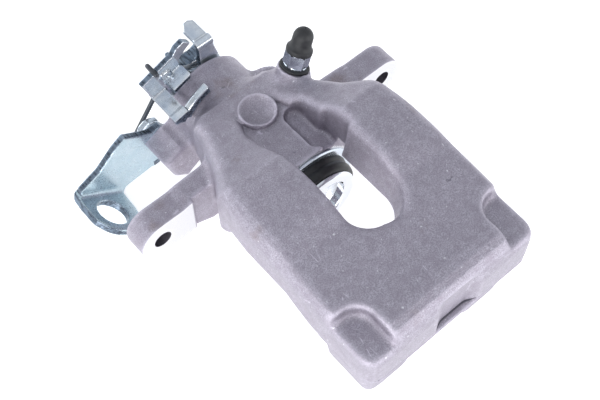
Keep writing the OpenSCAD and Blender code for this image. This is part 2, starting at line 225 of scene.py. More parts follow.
def contour(field, low, high, step):
    """
    Surface where a field is zero, on a grid of cubes. Each grid edge that the surface crosses gives a
    point and the field's slope there; each cube's vertex is the place nearest to all of its crossings'
    tangent planes, drawn slightly to their mean, so flat faces stay flat and cut edges stay sharp.
    """
    axes = [np.arange(lo - 1.5 * step, hi + 2 * step, step) for lo, hi in zip(low, high)]
    x, y, z = axes[0][:, None, None], axes[1][None, :, None], axes[2][None, None, :]
    size = tuple(len(a) for a in axes)
    values = np.broadcast_to(field(x, y, z), size).astype(np.float32)
    cells = tuple(n - 1 for n in size)
    total = cells[0] * cells[1] * cells[2]
    owners, crossings, slopes, quads = [], [], [], []
    for axis in range(3):
        lead = [slice(None)] * 3
        tail = [slice(None)] * 3
        lead[axis], tail[axis] = slice(0, -1), slice(1, None)
        for other in range(3):
            if other != axis:
                lead[other] = tail[other] = slice(1, -1)
        first, second = values[tuple(lead)], values[tuple(tail)]
        at = np.argwhere((first < 0) != (second < 0))
        f0 = first[tuple(at.T)].astype(float)
        f1 = second[tuple(at.T)].astype(float)
        for other in range(3):
            if other != axis:
                at[:, other] += 1
        start = np.stack([axes[k][at[:, k]] for k in range(3)], axis=1)
        t0, t1 = np.zeros(len(at)), np.ones(len(at))
        spot = start.copy()
        for _ in range(3):
            t = t0 + (t1 - t0) * f0 / (f0 - f1)
            spot[:, axis] = start[:, axis] + t * step
            f = field(*spot.T)
            left = (f < 0) == (f0 < 0)
            t0, f0 = np.where(left, t, t0), np.where(left, f, f0)
            t1, f1 = np.where(left, t1, t), np.where(left, f1, f)
            f0 = np.where(f0 == f1, f0 - 1e-9, f0)
        slope = np.empty_like(spot)
        for k in range(3):
            nudge = np.zeros(3)
            nudge[k] = 0.04 * step
            slope[:, k] = field(*(spot + nudge).T) - field(*(spot - nudge).T)
        slope /= np.linalg.norm(slope, axis=1, keepdims=True) + 1e-12
        b, c = [(1, 2), (2, 0), (0, 1)][axis]
        ring = []
        for db, dc in ((-1, -1), (0, -1), (0, 0), (-1, 0)):
            cell = at.copy()
            cell[:, b] += db
            cell[:, c] += dc
            ring.append((cell[:, 0] * cells[1] + cell[:, 1]) * cells[2] + cell[:, 2])
            owners.append(ring[-1])
            crossings.append(spot)
            slopes.append(slope)
        ring = np.stack(ring, axis=1)
        outward = first[tuple((at - (np.arange(3) != axis)).T)] < 0
        quads.append(np.where(outward[:, None], ring, ring[:, ::-1]))
    owner, spot, slope = np.concatenate(owners), np.concatenate(crossings), np.concatenate(slopes)
    used, owner = np.unique(owner, return_inverse=True)
    count = np.bincount(owner)
    mean = np.stack([np.bincount(owner, spot[:, k]) / count for k in range(3)], axis=1)
    offset = np.sum(slope * (spot - mean[owner]), axis=1)
    square = np.empty((len(used), 3, 3))
    for i in range(3):
        for j in range(3):
            square[:, i, j] = np.bincount(owner, slope[:, i] * slope[:, j])
    square += np.eye(3) * (0.03 * count)[:, None, None]
    right = np.stack([np.bincount(owner, slope[:, k] * offset) for k in range(3)], axis=1)
    shift = np.linalg.solve(square, right[:, :, None])[:, :, 0]
    length = np.linalg.norm(shift, axis=1, keepdims=True)
    shift *= np.minimum(1, 1.2 * step / np.maximum(length, 1e-9))
    lookup = np.zeros(total, dtype=np.int64)
    lookup[used] = np.arange(len(used))
    return mean + shift, lookup[np.concatenate(quads)]


def grid_faces(rows, columns, close_rows=False, close_columns=True):
    """Quads of a grid of points, closed round its columns and, if asked, its rows."""
    i = np.arange(rows if close_rows else rows - 1)
    j = np.arange(columns if close_columns else columns - 1)
    i, j = np.meshgrid(i, j, indexing="ij")
    i2, j2 = (i + 1) % rows, (j + 1) % columns
    quads = [i * columns + j, i * columns + j2, i2 * columns + j2, i2 * columns + j]
    return np.stack(quads, axis=-1).reshape(-1, 4)


def softened(profile, radius, count=4):
    """A closed profile with each corner replaced by a curve that starts and ends radius away from it."""
    points = np.asarray(profile, dtype=float)
    before, after = np.roll(points, 1, axis=0), np.roll(points, -1, axis=0)
    to_before, to_after = before - points, after - points
    first, last = points.copy(), points.copy()
    for place, side in ((first, to_before), (last, to_after)):
        length = np.linalg.norm(side, axis=1, keepdims=True)
        place += side / length * np.minimum(radius, 0.45 * length)
    t = np.linspace(0, 1, count)[None, :, None]
    curve = (1 - t) ** 2 * first[:, None] + 2 * t * (1 - t) * points[:, None] + t ** 2 * last[:, None]
    return curve.reshape(-1, 2)


def revolved(name, profile, at, direction, radius=0.3, segments=128, smooth_angle=50):
    """
    A closed profile of radius and height turned round an axis: each point is the place, plus its height
    along the axis, plus its radius times the turning direction across the axis.
    """
    curve = softened(profile, radius)
    d = np.asarray(direction, dtype=float) / np.linalg.norm(direction)
    side = np.cross(d, [0.0, 0.0, 1.0] if abs(d[2]) < 0.9 else [1.0, 0.0, 0.0])
    side /= np.linalg.norm(side)
    third = np.cross(d, side)
    turn = np.linspace(0, 2 * np.pi, segments, endpoint=False)
    out = np.cos(turn)[:, None] * side + np.sin(turn)[:, None] * third
    points = np.asarray(at) + curve[None, :, 1, None] * d + curve[None, :, 0, None] * out[:, None]
    faces = grid_faces(segments, len(curve), close_rows=True)
    area = np.sum(curve[:, 0] * np.roll(curve[:, 1], -1) - np.roll(curve[:, 0], -1) * curve[:, 1])
    return new_piece(name, points.reshape(-1, 3), faces if area < 0 else faces[:, ::-1], smooth_angle)


def swept(name, path, radius, sides=16):
    """
    A round wire along a path: at each point the section's circle lies across the path's direction, in
    axes carried along without twist, and both ends close to domed points.
    """
    path = np.asarray(path, dtype=float)
    ahead = np.gradient(path, axis=0)
    ahead /= np.linalg.norm(ahead, axis=1, keepdims=True)
    normal = np.empty_like(path)
    seed = np.cross(ahead[0], [0.3, 1.0, 0.2])
    for i, direction in enumerate(ahead):
        seed = seed - direction * np.dot(seed, direction)
        seed /= np.linalg.norm(seed)
        normal[i] = seed
    across = np.cross(ahead, normal)
    size = np.full(len(path), radius)
    ends = radius * np.array([0.02, 0.55, 0.85])
    lead = path[0] - ahead[0] * np.array([[0.5], [0.4], [0.2]]) * radius
    trail = path[-1] + ahead[-1] * np.array([[0.2], [0.4], [0.5]]) * radius
    path = np.concatenate([lead, path, trail])
    size = np.concatenate([ends, size, ends[::-1]])
    normal = np.concatenate([normal[:1].repeat(3, 0), normal, normal[-1:].repeat(3, 0)])
    across = np.concatenate([across[:1].repeat(3, 0), across, across[-1:].repeat(3, 0)])
    turn = np.linspace(0, 2 * np.pi, sides, endpoint=False)
    circle = np.cos(turn)[None, :, None] * normal[:, None] + np.sin(turn)[None, :, None] * across[:, None]
    points = path[:, None] + size[:, None, None] * circle
    return new_piece(name, points.reshape(-1, 3), grid_faces(len(path), sides)[:, ::-1], 60)


# ---- materials ----

def linear(red, green, blue):
    """An sRGB colour out of 255 as linear values."""
    parts = np.array([red, green, blue]) / 255
    return tuple(float(v) for v in np.where(parts < 0.04045, parts / 12.92, ((parts + 0.055) / 1.055) ** 2.4))


def node_group(name, inputs, outputs):
    """An empty shader node group with named sockets; inputs are (name, kind, default)."""
    group = bpy.data.node_groups.new(name, "ShaderNodeTree")
    for label, kind, default in inputs:
        socket = group.interface.new_socket(label, in_out="INPUT", socket_type=kind)
        socket.default_value = default
    for label, kind in outputs:
        group.interface.new_socket(label, in_out="OUTPUT", socket_type=kind)
    return group, group.nodes.new("NodeGroupInput"), group.nodes.new("NodeGroupOutput")


def noise(tree, coordinates, scale, detail=3.0, roughness=0.55):
    """Noise on given coordinates; the scale is in bumps a metre."""
    node = tree.nodes.new("ShaderNodeTexNoise")
    node.inputs["Scale"].default_value = scale
    node.inputs["Detail"].default_value = detail
    node.inputs["Roughness"].default_value = roughness
    tree.links.new(coordinates, node.inputs["Vector"])
    return node.outputs["Fac"]


def ramp(tree, value, stops):
    """A value or colour read off a ramp; stops are (place, grey or colour)."""
    node = tree.nodes.new("ShaderNodeValToRGB")
    while len(node.color_ramp.elements) < len(stops):
        node.color_ramp.elements.new(0.5)
    for element, (place, colour) in zip(node.color_ramp.elements, stops):
        element.position = place
        element.color = (*colour, 1) if isinstance(colour, tuple) else (colour, colour, colour, 1)
    tree.links.new(value, node.inputs["Fac"])
    return node.outputs["Color"]


def mixed(tree, factor, first, second, blend="MIX"):
    """Two colours mixed; each may be a socket or a linear colour."""
    node = tree.nodes.new("ShaderNodeMix")
    node.data_type = "RGBA"
    node.blend_type = blend
    for value, label in ((factor, "Factor"), (first, "A"), (second, "B")):
        socket = node.inputs[label]
        if isinstance(value, bpy.types.NodeSocket):
            tree.links.new(value, socket)
        elif isinstance(value, tuple):
            socket.default_value = (*value, 1)
        else:
            socket.default_value = value
    return node.outputs["Result"]


def maths(tree, operation, *values):
    """One step of arithmetic on sockets or numbers."""
    node = tree.nodes.new("ShaderNodeMath")
    node.operation = operation
    for value, socket in zip(values, node.inputs):
        if isinstance(value, bpy.types.NodeSocket):
            tree.links.new(value, socket)
        else:
            socket.default_value = value
    return node.outputs["Value"]


def grain_group():
    """Group: blasted or brushed grain, as a height and a mottled mask, for any metal here."""
    group, start, end = node_group(
        "Metal grain",
        [("Fine size", "NodeSocketFloat", 1400.0), ("Coarse size", "NodeSocketFloat", 220.0),
         ("Stretch", "NodeSocketVector", (1.0, 1.0, 1.0))],
        [("Height", "NodeSocketFloat"), ("Speckle", "NodeSocketFloat"), ("Mottle", "NodeSocketFloat")])
    place = group.nodes.new("ShaderNodeTexCoord").outputs["Object"]
    scaled = group.nodes.new("ShaderNodeVectorMath")
    scaled.operation = "MULTIPLY"
    group.links.new(place, scaled.inputs[0])
    group.links.new(start.outputs["Stretch"], scaled.inputs[1])
    fine = group.nodes.new("ShaderNodeTexNoise")
    fine.inputs["Detail"].default_value = 2.0
    fine.inputs["Roughness"].default_value = 0.7
    group.links.new(scaled.outputs["Vector"], fine.inputs["Vector"])
    group.links.new(start.outputs["Fine size"], fine.inputs["Scale"])
    coarse = group.nodes.new("ShaderNodeTexNoise")
    coarse.inputs["Detail"].default_value = 4.0
    group.links.new(scaled.outputs["Vector"], coarse.inputs["Vector"])
    group.links.new(start.outputs["Coarse size"], coarse.inputs["Scale"])
    height = maths(group, "ADD", fine.outputs["Fac"], maths(group, "MULTIPLY", coarse.outputs["Fac"], 0.6))
    group.links.new(height, end.inputs["Height"])
    group.links.new(fine.outputs["Fac"], end.inputs["Speckle"])
    group.links.new(coarse.outputs["Fac"], end.inputs["Mottle"])
    return group


def highlight_shade_scratch_group():
    """Group: masks of edges that stick out, for a painted highlight, of hollows, for painted shade, and of thin
    scratches.
    """
    group, start, end = node_group(
        "Painted edge highlight, hollow shade and scratches",
        [("Scratches", "NodeSocketFloat", 90.0)],
        [("Edge", "NodeSocketFloat"), ("Hollow", "NodeSocketFloat"), ("Scratch", "NodeSocketFloat")])
    point = group.nodes.new("ShaderNodeNewGeometry").outputs["Pointiness"]
    # Edges that stick out, from pointiness: the metals lighten them as a painted highlight.
    edge = ramp(group, point, [(0.505, 0.0), (0.56, 1.0)])
    # Hollows, from pointiness: the metals darken them as painted shade.
    hollow = ramp(group, point, [(0.44, 1.0), (0.495, 0.0)])
    place = group.nodes.new("ShaderNodeTexCoord").outputs["Object"]
    lines = group.nodes.new("ShaderNodeTexVoronoi")
    lines.feature = "DISTANCE_TO_EDGE"
    bent = group.nodes.new("ShaderNodeVectorMath")
    bent.operation = "MULTIPLY"
    bent.inputs[1].default_value = (1.0, 0.22, 0.4)
    group.links.new(place, bent.inputs[0])
    group.links.new(bent.outputs["Vector"], lines.inputs["Vector"])
    group.links.new(start.outputs["Scratches"], lines.inputs["Scale"])
    thin = ramp(group, lines.outputs["Distance"], [(0.0, 1.0), (0.012, 0.0)])
    patch = ramp(group, noise(group, place, 140, 2), [(0.6, 0.0), (0.66, 1.0)])
    group.links.new(edge, end.inputs["Edge"])
    group.links.new(hollow, end.inputs["Hollow"])
    group.links.new(maths(group, "MULTIPLY", thin, patch), end.inputs["Scratch"])
    return group


GROUPS = {}


def placed(tree, maker, **values):
    """A group's node in a material, built once and then shared, with its inputs set."""
    if maker.__name__ not in GROUPS:
        GROUPS[maker.__name__] = maker()
    node = tree.nodes.new("ShaderNodeGroup")
    node.node_tree = GROUPS[maker.__name__]
    for label, value in values.items():
        node.inputs[label.replace("_", " ")].default_value = value
    return node


def new_material(name, metallic, roughness):
    """A material with a Principled BSDF; returns it, its tree and its shader."""
    material = bpy.data.materials.new(name)
    material.use_nodes = True
    shader = material.node_tree.nodes["Principled BSDF"]
    shader.inputs["Metallic"].default_value = metallic
    shader.inputs["Roughness"].default_value = roughness
    return material, material.node_tree, shader


def bumped(tree, shader, height, strength, distance):
    """Feeds a height to the shader's normal through a bump."""
    bump = tree.nodes.new("ShaderNodeBump")
    bump.inputs["Strength"].default_value = strength
    bump.inputs["Distance"].default_value = distance
    tree.links.new(height, bump.inputs["Height"])
    tree.links.new(bump.outputs["Normal"], shader.inputs["Normal"])


def metal(name, colour, metallic, roughness, fine=1400.0, coarse=220.0, stretch=(1.0, 1.0, 1.0),
          speckle=0.25, mottle=0.2, grain=0.25, depth=0.00012, tint=None, scratches=0.5, edges=0.3):
    """A metal with grain, mottling, a painted highlight on its convex edges, painted shade in its hollows and
    fine scratches.
    """
    material, tree, shader = new_material(name, metallic, roughness)
    surface = placed(tree, grain_group, Fine_size=fine, Coarse_size=coarse, Stretch=stretch)
    highlight_shade_scratch = placed(tree, highlight_shade_scratch_group)
    dark = tuple(c * (1 - speckle) for c in colour)
    light = tuple(min(1.0, c * (1 + speckle)) for c in colour)
    base = mixed(tree, ramp(tree, surface.outputs["Speckle"], [(0.4, 0.0), (0.62, 1.0)]), dark, light)
    cloud = ramp(tree, surface.outputs["Mottle"], [(0.35, 0.0), (0.65, 1.0)])
    stain = tint or tuple(c * 0.8 for c in colour)
    base = mixed(tree, maths(tree, "MULTIPLY", cloud, mottle), base, stain)
    # Painted shade: hollows are darkened towards this colour.
    painted_hollow_shade = tuple(c * 0.35 for c in colour)
    # Painted highlight on convex edges; the same colour also lightens the real scratches.
    bright = tuple(min(1.0, c * 1.5 + 0.05) for c in colour)
    layers = (("Hollow", 0.5, painted_hollow_shade), ("Edge", edges, bright), ("Scratch", scratches, bright))
    for mask, amount, over in layers:
        base = mixed(tree, maths(tree, "MULTIPLY", highlight_shade_scratch.outputs[mask], amount), base, over)
    tree.links.new(base, shader.inputs["Base Color"])
    smoothest, roughest = max(0.02, roughness - 0.08), min(1, roughness + 0.08)
    rough = ramp(tree, surface.outputs["Speckle"], [(0.3, smoothest), (0.7, roughest)])
    tree.links.new(rough, shader.inputs["Roughness"])
    bumped(tree, shader, surface.outputs["Height"], grain, depth)
    return material


def rubber(name, colour=(0.018, 0.018, 0.02), roughness=0.5):
    """Moulded rubber: nearly black, with a faint bloom and a fine skin."""
    material, tree, shader = new_material(name, 0.0, roughness)
    surface = placed(tree, grain_group, Fine_size=2600.0, Coarse_size=420.0)
    bloom = tuple(c * 2.2 + 0.01 for c in colour)
    base = mixed(tree, ramp(tree, surface.outputs["Mottle"], [(0.4, 0.0), (0.75, 0.5)]), colour, bloom)
    tree.links.new(base, shader.inputs["Base Color"])
    tree.links.new(ramp(tree, surface.outputs["Mottle"], [(0.3, roughness - 0.06), (0.7, roughness + 0.1)]),
                   shader.inputs["Roughness"])
    bumped(tree, shader, surface.outputs["Height"], 0.25, 0.00006)
    return material


# ---- casting ----

def bridge_plan():
    """Plan of the bridge and its two arms, from the outboard wall to the boss."""
    hw = 46.5
    return mirrored(arc(hw - 10, Y_OUT + 8, 9.5, -90, 0, 5) + [
        (hw, -60), (hw, -35), (hw - 3.5, -15), (hw - 12, -3), (hw - 17, 8), (hw - 21, 18), (hw - 22.5, 26),
        (hw - 27, 33)])


BRIDGE_SIDE = ([(-72, 6.5), (Y_OUT - 1.5, 6.5), (Y_OUT - 1.5, 26)]
               + arc(Y_OUT + 11, 23.4, 12.2, 172, 90, 5)
               + [(-82, 34.8), (-59, 37.5), (-47, 41.5), (-38, 42.4), (-28, 42), (-19, 39.5), (-12, 35), (-4, 30),
                  (6, 25.5), (16, 21.5), (28, 17), (33, 13), (33, -8), (-20, -8), (-20, 14.5), (-58, 14.5)])

BRIDGE_END = mirrored([(24.5, -8), (36.5, 0), (45.5, 6.5), (46.5, 15.5), (46.5, 28)]
                      + arc(32.5, 29, 14, 0, 72, 5) + [(20, 47)])


def cylinder_side():
    """Half section of the piston cylinder and the mechanism's boss, as radius and station."""
    return [(0, Y_MOUTH), (25.5, Y_MOUTH), (27, -18.5), (27.5, -16), (27.5, 14), (26, 18), (23, 22),
            (20.8, 26), (20.2, 30), (20.2, Y_BOSS - 1), (19.2, Y_BOSS), (0, Y_BOSS)]


EAR = [(0, 10.5), (-12, 10.5), (-17, 11.5), (-33, 12.5), (-38, 12.5), (-38, -16), (-27, -16), (-16, -10.5),
       (0, -10.5)]

BORE = [(0, -21), (23, -21), (23, -16), (19.05, -16), (19.05, -11.5), (21.8, -11.5), (21.8, -8), (19.05, -8),
        (19.05, 14), (14.5, 14), (14.5, 15.5), (15.6, 15.5), (15.6, 16.9), (14.5, 16.9), (14.5, 41), (9, 41),
        (9, 47), (11, 47), (11, Y_BOSS + 1), (0, Y_BOSS + 1)]


def ears(x, y, z):
    """Both ears: a rounded outline carried through the ear's thickness, with a stepped outboard face."""
    along = np.abs(x) - EAR_SPAN / 2
    flat = union(np.hypot(along, z) - 10.5, outline(along, z, EAR))
    raw = common(flat, between(y, -4, EAR_T), 2.5)
    raw = common(raw, -y)
    step = common(along + 17.5, y - 1.8)
    return cut(raw, common(step, -z - 30), 1.2)


def bridge(x, y, z):
    """Bridge with its scoop and corner pockets."""
    plan = outline(x, y, bridge_plan())
    body = common(common(plan, outline(y, z, BRIDGE_SIDE), 6), outline(x, z, BRIDGE_END), 6)
    u = np.abs(x)
    pocket = np.hypot(np.maximum(39.5 - u, 0), np.maximum(y + 93, 0)) - 9
    body = cut(body, common(pocket, 28 - z, 4), 3)
    scoop = common(np.hypot(np.maximum(np.abs(x - 2) - 5, 0), y - Y_OUT + 4) - 7, between(z, 9.5, 30), 2)
    return cut(body, scoop, 2)


def window(x, y, z):
    """The opening through the bridge: a slot with round ends that widens upwards, and a gully beside it."""
    taper = np.clip((z - 22) / 22, 0, 1)
    wide = np.hypot(x, y - np.clip(y, -55.2, 2)) - 11.8 - 4.2 * taper * np.clip(0.2 + x / 8, 0, 1)
    wide = common(wide, union(y + 20, 21.5 - z))
    narrow = common(np.hypot(x, y - np.clip(y, 2, 24)) - 8.8 - 4.6 * taper, 21.5 - z, 3)
    near, far = np.hypot(x - 10.6, y - np.clip(y, -14, 0)), np.hypot(x - 13, y - np.clip(y, -24, -14))
    gully = common(union(near - 4.6, far - 4, 1), 17.5 - z, 3)
    return union(union(wide, narrow, 2), gully, 1)


def casting(x, y, z):
    """The whole casting: rough shapes joined with fillets, then the machined cuts with sharp edges."""
    r = np.hypot(x, z - AXIS_Z)
    u = np.abs(x)
    body = bridge(x, y, z)
    body = body + 0.5 * np.clip(1 - np.abs(z - SEAM_Z) / 0.9, 0, 1) * (y < -62)
    housing = outline(r, y, cylinder_side())
    body = union(body, housing, 5)
    body = union(body, ears(x, y, z), 4.5)
    body = cut(body, window(x, y, z), 5)
    fingers = outline(u, z, [(14, 8.5), (14, -17)] + arc(19, -17, 5, 180, 270, 3)
                      + arc(31, -14, 8, 270, 350, 4) + [(42, 8.5)])
    body = union(body, common(fingers, between(y, -101.5, Y_FINGER + 1), 4), 4)
    pad = common(np.hypot(x - DIMPLE_AT[0], y - DIMPLE_AT[1]) - 8.6, between(z, 5, 23.4), 0.8)
    body = union(body, pad, 1.5)
    body = union(body, round_bar(x, y, z, BLEED_AT, BLEED_DIR, BLEED_SEAT_R, -24, 0, 1), 4)
    body = union(body, round_bar(x, y, z, PORT_AT, PORT_DIR, 8, -20, 0, 1), 4)
    lugs = outline(x, z, [(-26, -8.5), (-35.1, -13), (-31, -26.5), (-25, -32), (-10, -22), (-12, -7)])
    lugs = common(lugs - 0.5, between(y, 34, WEB_Y + 2), 3)
    body = union(body, lugs, 5)
    # Machined: room for the disc, dimple, holes, bore, seats
    disc = common(common(np.hypot(x, z + 113.53) - 136, u - 43.5), between(y, Y_FINGER, Y_MOUTH))
    body = cut(body, disc, 0.8)
    body = cut(body, ball(x, y, z, DIMPLE_AT, DIMPLE_R), 0.4)
    body = np.maximum(body, y - np.where(r < 20.5, Y_BOSS, WEB_Y))
    body = cut(body, np.hypot(u - EAR_SPAN / 2, z) - EAR_HOLE_R)
    body = cut(body, outline(r, y, BORE))
    body = cut(body, round_bar(x, y, z, BLEED_AT, BLEED_DIR, BLEED_SEAT_R, 0, 10))
    body = cut(body, round_bar(x, y, z, BLEED_AT, BLEED_DIR, 4, -14, 6))
    body = cut(body, round_bar(x, y, z, PORT_AT, PORT_DIR, PORT_R, -PORT_DEPTH, 2))
    return body


def add_stains(material):
    """A dark line where the mould's halves met, then brown blots, dark scuffs and pale flecks."""
    tree = material.node_tree
    shader = tree.nodes["Principled BSDF"]
    clean = shader.inputs["Base Color"].links[0].from_socket
    place = tree.nodes.new("ShaderNodeTexCoord").outputs["Object"]
    parts = tree.nodes.new("ShaderNodeSeparateXYZ")
    tree.links.new(place, parts.inputs["Vector"])
    line = maths(tree, "COMPARE", parts.outputs["Z"], SEAM_Z / 1000, 0.0003)
    line = maths(tree, "MULTIPLY", line, maths(tree, "LESS_THAN", parts.outputs["Y"], -0.062))
    colour = mixed(tree, maths(tree, "MULTIPLY", line, 0.75), clean, linear(52, 52, 62))
    for grain, stops, stain in (((42, 5, 0.6), [(0.62, 0.0), (0.74, 0.55)], linear(126, 108, 98)),
                                ((95, 6, 0.75), [(0.66, 0.0), (0.72, 0.7)], linear(84, 80, 92)),
                                ((700, 2, 0.5), [(0.7, 0.0), (0.76, 0.8)], linear(226, 224, 230))):
        colour = mixed(tree, ramp(tree, noise(tree, place, *grain), stops), colour, stain)
    tree.links.new(colour, shader.inputs["Base Color"])


def casting_materials():
    """Blasted casting, bright machined face, and a darker copy of it in the bore and holes as painted shade."""
    colour = tuple(bpy.context.scene.caliper_colours.casting)
    blasted = metal("Blasted casting", colour, 0.65, 0.42, fine=2100.0, coarse=260.0, speckle=0.26,
                    mottle=0.45, grain=0.9, depth=0.00025, tint=linear(146, 137, 150), scratches=0.9,
                    edges=0.6)
    add_stains(blasted)
    machined = metal("Machined face", linear(226, 225, 228), 0.75, 0.34, fine=2600.0, coarse=500.0,
                     stretch=(1.0, 1.0, 6.0), speckle=0.08, mottle=0.1, grain=0.2, depth=0.00004,
                     tint=linear(205, 203, 208), scratches=0.2, edges=0.2)
    # Painted shade: a darker copy of the machined finish for the bore and holes.
    shaded_bore = metal("Bore with painted shade", linear(112, 108, 116), 0.7, 0.4, fine=2200.0, speckle=0.15, grain=0.2,
                  depth=0.00006, edges=0.2)
    return blasted, machined, shaded_bore


def build_casting(step):
    """Casting as the zero surface of its field, with the machined faces in their own material."""
    points, quads = contour(casting, BODY_LOW - 1, BODY_HIGH + 1, step)
    points = np.clip(points, BODY_LOW, BODY_HIGH)
    piece = new_piece("casting", points, quads, 32)
    for material in casting_materials():
        piece.data.materials.append(material)
    centre, normal = face_arrays(piece.data)
    (x, y, z), (nx, ny, nz) = centre.T, normal.T
    r = np.hypot(x, z - AXIS_Z)
    ear_face = (np.abs(x) > 43) & (np.abs(y) < 0.3) & (ny < -0.95)
    finger_face = (np.abs(y - Y_FINGER) < 0.3) & (ny > 0.95)
    boss_end = (y > Y_BOSS - 0.2) & (ny > 0.95)
    mouth = (np.abs(y - Y_MOUTH) < 0.3) & (ny < -0.95) & (r < 26)
    ear_hole = np.hypot(np.abs(x) - EAR_SPAN / 2, z) < EAR_HOLE_R + 0.35
    bore = (r < 23.1) & (nz * (z - AXIS_Z) + nx * x < 0) & (y > Y_MOUTH - 1)
    dimple = (ball(x, y, z, DIMPLE_AT, DIMPLE_R) < 0.2) & (z < 23)
    which = np.zeros(len(centre), dtype=np.int32)
    # The bore and the ear holes take the darker copy, as painted shade.
    which[(ear_hole | bore) & ~dimple & (z < 18)] = 2
    which[ear_face | finger_face | boss_end | mouth] = 1
    piece.data.polygons.foreach_set("material_index", which)
    return piece


# ---- sheet steel ----

BEND_A = np.array([-71.8, -19.2])          # bend line of the bracket, in X and Z
BEND_B = np.array([-51.9, -35.5])
LEG_AT = np.array([-22.58, 26.97])         # return spring's leg at the lever's edge, in X and Z


def off_bend(x, z):
    """Distances along the bend line from its first end, and across it on the web's side."""
    ux, uz = (BEND_B - BEND_A) / np.linalg.norm(BEND_B - BEND_A)
    across_x, across_z = x - BEND_A[0], z - BEND_A[1]
    return across_x * ux + across_z * uz, across_z * ux - across_x * uz


def bracket(x, y, z):
    """Cable bracket: a web across Y and a flange bent towards the ears, with rolled-over stamped edges."""
    s, n = off_bend(x, z)
    w = WEB_Y - y
    web = outline(x, z, [(-26, -7.6), (-31.2, -8.2), (-36, -5.4), (-44.6, 0.8), (-50.7, -2.8), (-60, -11),
                         (-71, -16), tuple(BEND_A), tuple(BEND_B), (-29.9, -33.5), (-22, -32.5), (-19.5, -26),
                         (-20.5, -16)])
    web = common(web, between(y, WEB_Y, WEB_Y + 3.5), 0.9)
    shape = outline(s, w, [(-1.5, -3.5), (-2.6, 5), (-1.8, 15), (14, 23.6), (20, 20), (24.5, 12),
                           (25.7, -3.5)])
    shape = union(shape, union(np.hypot(s - 9.8, w - 12) - 12, np.hypot(s - 15, w - 15.5) - 8.3, 3), 2)
    flange = common(shape, between(n, -3.5, 0), 0.9)
    sheet = union(web, flange, 3)
    rounding = np.hypot(np.maximum(y - WEB_Y + 1, 0), np.maximum(1 - n, 0)) - 4.5
    sheet = np.maximum(sheet, rounding)
    hook = common(between(x, -33.3, -30), between(z, -33.6, -30), 0.8)
    sheet = union(sheet, common(hook, between(y, WEB_Y, WEB_Y + 16.5), 0.8), 1.5)
    sheet = cut(sheet, np.hypot(s - 9.8, w - 12) - 7.75, 0.6)
    for bx, bz in BOLTS:
        sheet = cut(sheet, np.hypot(x - bx, z - bz) - 3.3)
    return sheet


def lever(x, y, z):
    """Parking lever: plate, bent tongue, cable channel and rolled hook, with rolled-over stamped edges."""
    plate = outline(x, z, [(-30.1, 23.8), (-13, 30.3), (-10.5, 33.6), (-6.5, 35.2), (-3, 31.5), (-6, 29.5),
                           (-9.8, 26), (-10.4, 21), (-8, 15.5), (12.5, AXIS_Z), (0, -15), (-12, -8), (-16, 4),
                           (-26, 11.5)])
    plate = union(plate, np.hypot(x, z - AXIS_Z) - 13, 3)
    upright = outline(x, z, [(1.2, 0), (0.7, 21), (0.8, 25.5), (8.4, 25.5), (9.2, 20), (13, 3)])
    plate = common(union(plate, upright, 2), between(y, Y_LEVER, Y_LEVER + 3), 0.7)
    tongue = outline(x, y, [(0.8, Y_LEVER), (0.8, 63), (3.5, 66.8), (6, 67.2), (8.4, 65.5), (8.4, Y_LEVER)])
    tongue = common(tongue, between(z, 23.2, 25.5), 1.0)
    body = union(plate, tongue, 1.5)
    bend = np.hypot(np.maximum(Y_LEVER + 3 - y, 0), np.maximum(z - 22.5, 0)) - 3
    body = np.where((x > -1) & (z > 22.5) & (y < Y_LEVER + 3), np.maximum(body, bend), body)
    floor = common(outline(x, z, [(-26, 11.5), (-19.2, 13.1), (-18.6, 10.4), (-25.4, 8.8)]),
                   between(y, 36, Y_LEVER + 3), 0.9)
    body = union(body, floor, 1)
    r, turn = np.hypot(x, z - AXIS_Z), np.degrees(np.arctan2(-x, z - AXIS_Z))
    wall = np.maximum(np.abs(r - 23.45) - 2.25, between(turn, 16, 57) * 0.4)
    foot = outline(x, z, [(-26, 11.5), (-25.4, 8.8), (-21, 6), (-17, 11), (-19.2, 13.1)])
    body = union(body, common(np.minimum(wall, foot), between(y, 36, 39.5), 1.0), 1)
    ring = np.abs(np.hypot(x + 1.2, z - 22) - 9.1) - 1.1
    arm = outline(x, z, [(-1.2, 22), (-16, 22), (-16, 8), (0, 6), (10, 10), (10, 16)])
    hook = common(common(ring, arm, 0.8), between(y, Y_LEVER + 2.5, Y_LEVER + 9.5), 0.9)
    body = union(body, hook, 2)
    tab = common(outline(x, z, [(-18.5, 16), (-9.5, 19.5), (-9.5, 22.2), (-18.8, 18.8)]),
                 between(y, Y_LEVER - 7, Y_LEVER + 1), 0.5)
    body = union(body, tab, 1)
    lance = np.hypot(np.hypot(x + 18, z - 21) - 2.6, y - Y_LEVER) - 0.9
    body = union(body, common(lance, -2 - (x + 18) - 1.2 * (z - 21)), 0.6)
    hole = common(np.hypot(x, z - AXIS_Z) - 6, np.abs(x) - 4.6)
    body = cut(body, hole)
    return cut(body, np.hypot(x - LEG_AT[0], z - LEG_AT[1]) - 1.3)


def build_sheet(name, field, node, materials, step, bent, bent_normal):
    """
    A sheet part as the zero surface of its field, inside its CAD node's box. A face is on a cut edge where
    its normal lies across the sheet's own normal: Y on the flat web, another direction where it is bent.
    """
    low, high = node_box(node)
    points, quads = contour(field, low - 0.5, high + 0.5, step)
    piece = new_piece(name, np.clip(points, low, high), quads, 30)
    for material in materials:
        piece.data.materials.append(material)
    centre, normal = face_arrays(piece.data)
    flat, turned = np.abs(normal[:, 1]), np.abs(normal @ np.array(bent_normal))
    edge = np.where(bent(*centre.T), turned < 0.6, flat < 0.6)
    corner = (turned ** 2 + flat ** 2 > 0.9) & (np.abs(turned - flat) < 0.9) & bent(*centre.T)
    piece.data.polygons.foreach_set("material_index", (edge & ~corner).astype(np.int32))
    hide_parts(node)
    return piece


